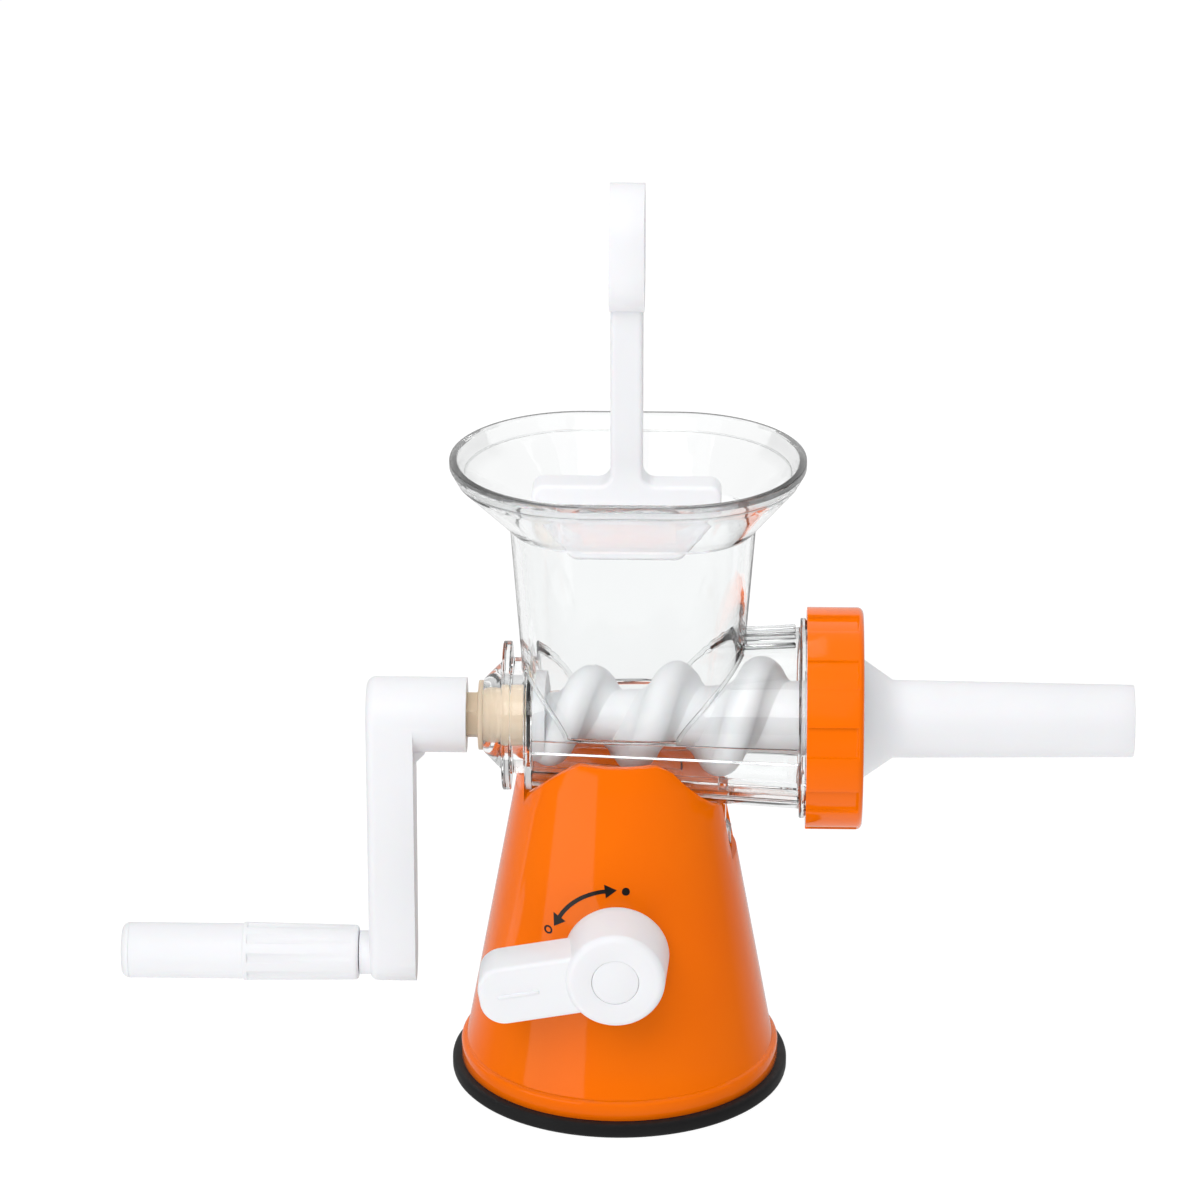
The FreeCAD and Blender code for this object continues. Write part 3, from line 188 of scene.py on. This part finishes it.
def stainless_steel():
    """Stainless steel, turned and stamped: grey, with fine tool lines that smear its highlights."""
    line_size = 2 * MM
    material, tree, shader = new_material("stainless_steel")
    place = add(tree, "ShaderNodeTexCoord").outputs["Object"]
    drawn = add(tree, "ShaderNodeMapping", {"Vector": place}, Scale=(1.0, 8.0, 8.0))
    lines = add(tree, "ShaderNodeTexNoise", {"Vector": drawn.outputs["Vector"]},
                Scale=1 / line_size, Detail=4.0)
    gloss = add(tree, "ShaderNodeMapRange", {"Value": lines.outputs["Fac"]}, To_Min=0.2, To_Max=0.4)
    tree.links.new(gloss.outputs["Result"], shader.inputs["Roughness"])
    bump = add(tree, "ShaderNodeBump", {"Height": lines.outputs["Fac"]},
               Strength=0.1, Distance=0.05 * MM)
    tree.links.new(bump.outputs["Normal"], shader.inputs["Normal"])
    set_shader(shader, Base_Color=linear("#C9CACC"), Metallic=1.0)
    return material


def printing_ink():
    """Pad-printed black ink: a thin, slightly uneven film on the gloss."""
    return moulded("black_pad_print", "#0E0D0C", "#1A1816", 0.3, 0.8, 0.1, IOR=1.5)


MATERIALS = {
    "orange_plastic": orange_abs(),
    "white_plastic": white_abs(),
    "ivory_plastic": ivory_acetal(),
    "black_rubber": black_rubber(),
    "clear_plastic": clear_styrene(),
    "steel": stainless_steel(),
}
INK = printing_ink()
# Nylon of the screw, darkened as painted shade for the clear body that covers it.
SHADED_NYLON = shaded_white_nylon()

# Softened edges of the moulded and turned pieces, in millimetres, and from which angle
EDGE_ROUND = {
    "base_shell": 0.5, "ring_nut": 0.6, "hopper_body": 0.4, "suction_lever": 0.4,
    "lever_cap": 0.3, "auger": 0.5, "stuffing_tube": 0.4, "crank_arm": 0.5, "hand_grip": 0.3,
    "grip_cap": 0.3, "pusher": 0.4, "shaft_bush": 0.3, "drive_shaft": 0.4,
}
ROUND_ANGLE = math.radians(40)

# Angle in degrees from which an edge stays a crease: on the clear body, and on all other pieces
CREASE = {"hopper_body": 14}
OTHER_CREASE = 35


def dress_nodes():
    """Every CAD node gets its material (the screw's darkened as painted shade), joined triangles,
    soft edges and smooth curves.
    """
    slots = {row["node"]: row["material_slot"] for row in frame["record"]["subparts"]}
    for name, node in NODES.items():
        node.data.materials.clear()
        # The screw's nylon is darker as painted shade, since the clear body casts no shadow.
        node.data.materials.append(SHADED_NYLON if name == "auger" else MATERIALS[slots[name]])
        node.data.shade_smooth()
        weld = node.modifiers.new("join", "WELD")
        weld.merge_threshold = MERGE
        if name in EDGE_ROUND:
            edges = node.modifiers.new("edges", "BEVEL")
            edges.width = EDGE_ROUND[name] * MM
            edges.segments = 2
            edges.limit_method = "ANGLE"
            edges.angle_limit = ROUND_ANGLE
            # The clear body's short edges would hold all its rounding back.
            edges.use_clamp_overlap = name != "hopper_body"
        split = node.modifiers.new("creases", "EDGE_SPLIT")
        split.split_angle = math.radians(CREASE.get(name, OTHER_CREASE))
    # Clear plastic throws no dark shadow, and the orange doesn't tint the white beside it.
    NODES["hopper_body"].visible_shadow = False
    NODES["base_shell"].visible_diffuse = False
    NODES["ring_nut"].visible_diffuse = False


def apply_modifiers(piece):
    """Every modifier of the active piece becomes part of its mesh."""
    for modifier in list(piece.modifiers):
        bpy.ops.object.modifier_apply(modifier=modifier.name)


def turned(name, profile):
    """A round piece about the upright axis, from its profile's radii and heights in millimetres."""
    bpy.ops.object.select_all(action="DESELECT")
    radius, height = profile[0]
    bpy.ops.mesh.primitive_circle_add(vertices=120, radius=radius * MM,
                                      location=(0, 0, height * MM))
    piece = bpy.context.object
    piece.name = name
    bpy.ops.object.transform_apply()
    bpy.ops.object.mode_set(mode="EDIT")
    for next_radius, next_height in profile[1:]:
        grow = next_radius / radius
        rise = (0, 0, (next_height - height) * MM)
        bpy.ops.mesh.extrude_region_move(TRANSFORM_OT_translate={"value": rise})
        bpy.ops.transform.resize(value=(grow, grow, 1), center_override=(0, 0, next_height * MM))
        radius, height = next_radius, next_height
    bpy.ops.mesh.select_all(action="SELECT")
    bpy.ops.mesh.remove_doubles(threshold=0.01 * MM)
    bpy.ops.mesh.fill_holes(sides=0)
    bpy.ops.mesh.select_all(action="SELECT")
    bpy.ops.mesh.normals_make_consistent(inside=False)
    bpy.ops.object.mode_set(mode="OBJECT")
    bpy.ops.object.shade_smooth_by_angle(angle=math.radians(40))
    return piece


# Profiles of the rubber foot, radius and height in millimetres
LIP_PROFILE = (
    (46.0, 0.0), (54.2, 0.0), (54.85, 0.17), (55.33, 0.65), (55.5, 1.3), (55.5, 3.7),
    (55.33, 4.35), (54.85, 4.83), (54.2, 5.0), (49.6, 5.0), (49.6, 10.0), (47.0, 10.0),
    (47.0, 4.2), (43.6, 2.4), (46.0, 0.0),
)
SKIN_PROFILE = (
    (0.2, 4.4), (18.0, 4.3), (28.0, 3.7), (37.0, 2.5), (44.6, 1.25), (44.6, 2.3), (37.0, 4.0),
    (28.0, 5.3), (18.0, 5.95), (16.9, 6.0), (16.9, 11.0), (9.6, 11.0), (9.6, 9.2), (13.3, 9.2),
    (13.3, 6.0), (0.2, 6.0),
)


def rubber_foot():
    """Suction foot: a lip that stays on the worktop, and a thin skin that the rod draws up."""
    lip = turned("foot_lip", LIP_PROFILE)
    lip.data.materials.append(MATERIALS["black_rubber"])
    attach(lip, "body")
    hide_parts("suction_cup")
    skin = turned("foot_skin", SKIN_PROFILE)
    skin.data.materials.append(MATERIALS["black_rubber"])
    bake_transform(skin)


def point_about(middle, angle, radius):
    """A point in front of the base, given by angle in degrees and distance from a middle."""
    angle = math.radians(angle)
    return middle + Vector((radius * math.cos(angle), 0, radius * math.sin(angle)))


def angle_about(middle, point):
    """The angle in degrees, from 0 to 360, at which a point lies about a middle."""
    return math.degrees(math.atan2(point.z - middle.z, point.x - middle.x)) % 360


def keep_faces(wanted):
    """In edit mode, delete the faces whose centre fails the test."""
    mesh = bmesh.from_edit_mesh(bpy.context.object.data)
    for face in mesh.faces:
        face.select_set(not wanted(face.calc_center_median()))
    bmesh.update_edit_mesh(bpy.context.object.data)
    bpy.ops.mesh.delete(type="FACE")


def widen_ring(centre, grow):
    """In edit mode, turn the selected circle into a flat ring."""
    bpy.ops.mesh.extrude_region_move()
    bpy.ops.transform.resize(value=(grow, grow, grow), center_override=centre)


def turn_arrow():
    """Printed guide round the lever: a double-headed arrow from an open ring to a full dot."""
    middle = LEVER_AXIS + Vector((-0.5 * MM, 0, -1.6 * MM))
    reach, stroke, head = 21 * MM, 1.3 * MM, 2.6 * MM
    inner, outer = reach - stroke / 2, reach + stroke / 2
    first, last = 98, 152
    dot_place, dot_radius = point_about(middle, 81, reach), 1.3 * MM
    ring_place, ring_radius, ring_grow = point_about(middle, 166.5, 22.6 * MM), 0.8 * MM, 1.7
    ink_film = 0.06 * MM
    bpy.ops.object.select_all(action="DESELECT")
    bpy.ops.mesh.primitive_circle_add(vertices=180, radius=inner, location=middle,
                                      rotation=FACE_FRONT)
    arrow = bpy.context.object
    arrow.name = "turn_arrow"
    bpy.ops.object.transform_apply()
    bpy.ops.object.mode_set(mode="EDIT")
    widen_ring(middle, outer / inner)
    keep_faces(lambda centre: first < angle_about(middle, centre) < last)
    for angle, turn in ((first, -90), (last, 90)):
        # The middle of a head lies 2 degrees past the end of the stroke.
        bpy.ops.mesh.primitive_circle_add(
            vertices=3, radius=head, fill_type="NGON",
            location=point_about(middle, angle + turn / 45, reach),
            rotation=(FACE_FRONT[0], math.radians(90 - angle - turn), 0))
    bpy.ops.mesh.primitive_circle_add(vertices=24, radius=dot_radius, fill_type="NGON",
                                      location=dot_place, rotation=FACE_FRONT)
    bpy.ops.mesh.select_all(action="DESELECT")
    bpy.ops.mesh.primitive_circle_add(vertices=24, radius=ring_radius,
                                      location=ring_place, rotation=FACE_FRONT)
    widen_ring(ring_place, ring_grow)
    bpy.ops.mesh.select_all(action="SELECT")
    bpy.ops.mesh.quads_convert_to_tris()
    bpy.ops.mesh.subdivide(number_cuts=2)
    bpy.ops.object.mode_set(mode="OBJECT")
    wrap = arrow.modifiers.new("lay_on_base", "SHRINKWRAP")
    wrap.target = NODES["base_shell"]
    wrap.wrap_method = "PROJECT"
    wrap.use_project_y = True
    wrap.offset = ink_film
    film = arrow.modifiers.new("film", "SOLIDIFY")
    film.thickness = ink_film
    film.offset = 0
    apply_modifiers(arrow)
    bpy.ops.object.mode_set(mode="EDIT")
    bpy.ops.mesh.select_all(action="SELECT")
    bpy.ops.mesh.normals_make_consistent(inside=False)
    bpy.ops.object.mode_set(mode="OBJECT")
    arrow.data.materials.append(INK)
    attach(arrow, "body")


def lever_bar():
    """Thin raised bar along the middle of the lever's arm, for the thumb."""
    out = 31.6 * MM
    place = (-out * math.cos(LEVER_DROOP), ARM_FACE, LEVER_HEIGHT - out * math.sin(LEVER_DROOP))
    bpy.ops.object.select_all(action="DESELECT")
    bpy.ops.mesh.primitive_cube_add(size=1, location=place, rotation=(0, -LEVER_DROOP, 0),
                                    scale=(13.5 * MM, 0.9 * MM, 1.3 * MM))
    bar = bpy.context.object
    bar.name = "lever_bar"
    bpy.ops.object.transform_apply()
    bpy.ops.object.mode_set(mode="EDIT")
    bpy.ops.mesh.bevel(offset=0.4 * MM, segments=3, affect="EDGES")
    bpy.ops.object.mode_set(mode="OBJECT")
    bpy.ops.object.shade_smooth_by_angle(angle=math.radians(30))
    bar.data.materials.append(MATERIALS["white_plastic"])
    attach(bar, "lever")


def barrel_radius(along):
    """Outer radius of the barrel at a place along its axis."""
    return BARREL_BACK_RADIUS + BARREL_TAPER * (along - BARREL_BACK)


def barrel_ribs():
    """Four fine ribs moulded along the top of the barrel, from the throat to the mouth."""
    start, end = 37 * MM, 57 * MM
    along = (start + end) / 2
    reach = barrel_radius(along) + 0.2 * MM
    bpy.ops.object.select_all(action="DESELECT")
    bpy.ops.mesh.primitive_cube_add(size=1, location=(along, 0, BARREL_HEIGHT + reach),
                                    rotation=(0, -math.atan(BARREL_TAPER), 0),
                                    scale=(end - start, 1.7 * MM, 2.2 * MM))
    ribs = bpy.context.object
    ribs.name = "barrel_ribs"
    bpy.ops.object.transform_apply()
    bpy.ops.object.mode_set(mode="EDIT")
    bpy.ops.mesh.bevel(offset=0.7 * MM, segments=4, affect="EDGES")
    bpy.ops.mesh.select_all(action="SELECT")
    # The first turn sets the rib to one side of the top, and each later one places a copy.
    for turn in (-15, 10, 10, 10):
        if turn > 0:
            bpy.ops.mesh.duplicate()
        bpy.ops.transform.rotate(value=math.radians(turn), orient_axis="X", orient_type="GLOBAL",
                                 center_override=(0, 0, BARREL_HEIGHT))
    bpy.ops.object.mode_set(mode="OBJECT")
    bpy.ops.object.shade_smooth_by_angle(angle=math.radians(40))
    ribs.data.materials.append(MATERIALS["clear_plastic"])
    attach(ribs, "body")


def on_barrel(point):
    """Whether a point lies on the barrel's outer face, above its middle and beside the throat."""
    away = math.hypot(point.y, point.z - BARREL_HEIGHT)
    beside = BARREL_BACK + 0.5 * MM < point.x < 40 * MM
    above = point.z > BARREL_HEIGHT + 1 * MM
    return beside and above and abs(away - barrel_radius(point.x)) < 0.15 * MM


def on_rim_step(point):
    """Whether a point lies at the height of the step inside the rim."""
    return abs(point.z - RIM_STEP_HEIGHT) < 0.25 * MM


def moulded_line(name, sharp, thick, wanted):
    """A thin clear bead along the hopper's edges that are sharper than an angle and wanted."""
    bead = bpy.data.objects.new(name, NODES["hopper_body"].data.copy())
    bpy.context.scene.collection.objects.link(bead)
    bpy.ops.object.select_all(action="DESELECT")
    bead.select_set(True)
    bpy.context.view_layer.objects.active = bead
    bpy.ops.object.mode_set(mode="EDIT")
    bpy.ops.mesh.select_all(action="SELECT")
    bpy.ops.mesh.remove_doubles(threshold=MERGE)
    bpy.ops.mesh.select_mode(type="EDGE")
    bpy.ops.mesh.select_all(action="DESELECT")
    mesh = bmesh.from_edit_mesh(bead.data)
    for edge in mesh.edges:
        if len(edge.link_faces) == 2 and edge.calc_face_angle() > math.radians(sharp):
            edge.select_set(all(wanted(vertex.co) for vertex in edge.verts))
    bmesh.update_edit_mesh(bead.data)
    bpy.ops.mesh.select_all(action="INVERT")
    bpy.ops.mesh.delete(type="EDGE")
    bpy.ops.object.mode_set(mode="OBJECT")
    bpy.ops.object.convert(target="CURVE")
    bead.data.bevel_depth = thick / 2
    bead.data.bevel_resolution = 2
    bead.data.use_fill_caps = True
    bpy.ops.object.convert(target="MESH")
    bpy.ops.object.shade_smooth()
    bead.data.materials.clear()
    bead.data.materials.append(MATERIALS["clear_plastic"])
    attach(bead, "body")


# Camera: its place before a small turn about the upright axis, and its tilt from straight down
CAMERA_PLACE = Vector((-6.5 * MM, -1917.5 * MM, 949.4 * MM))
CAMERA_TURN = math.radians(1.4)
CAMERA_TILT = math.radians(67.8)


def new_camera():
    """Long lens, a little above the object and nearly straight in front of it."""
    data = bpy.data.cameras.new("camera")
    data.lens = 192
    data.sensor_width = 36
    data.clip_end = 20
    camera = bpy.data.objects.new("camera", data)
    camera.location = Matrix.Rotation(CAMERA_TURN, 3, "Z") @ CAMERA_PLACE
    camera.rotation_euler = (CAMERA_TILT, 0, CAMERA_TURN)
    bpy.context.scene.collection.objects.link(camera)
    bpy.context.scene.camera = camera


# Soft boxes: place, target, width, height, power in watts, and whether gloss mirrors them
SOFT_BOXES = {
    "front_box": ((-0.35, -1.2, 1.3), (0, 0, 0.1), 1.2, 1.2, 17.5, False),
    "top_box": ((0.2, 0.1, 1.6), (0, 0, 0.1), 1.4, 1.4, 9, False),
    "left_card": ((-0.43, -0.41, 0.06), (0, 0, 0.06), 0.5, 0.36, 0.5, True),
}

# Light of the surroundings: the level everywhere, and what is added to it: an axis, the span
# of directions over which the light rises, and how strong it gets
DIM_LEVEL = 0.12
SURROUNDINGS = (
    ("Z", 0.2, 1.0, 0.2),
    ("Z", -0.4, -1.0, 0.5),
    ("Y", 0.3, 0.8, 0.55),
)


def soft_box(name, place, target, width, height, power, mirrored):
    """A rectangular light that the camera doesn't see."""
    data = bpy.data.lights.new(name, "AREA")
    data.shape = "RECTANGLE"
    data.size = width
    data.size_y = height
    data.energy = power
    light = bpy.data.objects.new(name, data)
    light.visible_camera = False
    light.visible_glossy = mirrored
    light.location = place
    light.rotation_euler = (Vector(target) - Vector(place)).to_track_quat("-Z", "Y").to_euler()
    bpy.context.scene.collection.objects.link(light)


def surroundings():
    """White light from all round, bright behind, above and below, and dim in front."""
    world = bpy.data.worlds.new("studio")
    world.use_nodes = True
    tree = world.node_tree
    facing = add(tree, "ShaderNodeTexCoord").outputs["Generated"]
    direction = add(tree, "ShaderNodeSeparateXYZ", {0: facing})
    level = add(tree, "ShaderNodeValue").outputs[0]
    level.default_value = DIM_LEVEL
    for axis, start, end, strength in SURROUNDINGS:
        part = add(tree, "ShaderNodeMapRange", {"Value": direction.outputs[axis]},
                   From_Min=start, From_Max=end, To_Min=0.0, To_Max=strength)
        both = {0: level, 1: part.outputs["Result"]}
        level = add(tree, "ShaderNodeMath", both, operation="ADD").outputs[0]
    tree.links.new(level, tree.nodes["Background"].inputs["Strength"])
    tree.nodes["Background"].inputs["Color"].default_value = (1, 1, 1, 1)
    bpy.context.scene.world = world
    bpy.context.scene.view_settings.view_transform = "Standard"


def white_floor():
    """A wide white card just under the foot, which glows so that no horizon shows."""
    bpy.ops.object.select_all(action="DESELECT")
    bpy.ops.mesh.primitive_plane_add(size=12, location=(0, 0, -0.4 * MM))
    floor = bpy.context.object
    floor.name = "floor"
    material, _, shader = new_material("white_card")
    set_shader(shader, Base_Color=linear("#626262"), Roughness=0.9, Specular_IOR_Level=0.0,
               Emission_Color=(1, 1, 1, 1), Emission_Strength=0.96)
    floor.data.materials.append(material)
    floor.visible_glossy = False


dress_nodes()
rubber_foot()
turn_arrow()
lever_bar()
barrel_ribs()
moulded_line("throat_fillet", 18, 1.6 * MM, on_barrel)
moulded_line("rim_step", 8, 0.7 * MM, on_rim_step)
surroundings()
white_floor()
for box_name, box in SOFT_BOXES.items():
    soft_box(box_name, *box)
new_camera()
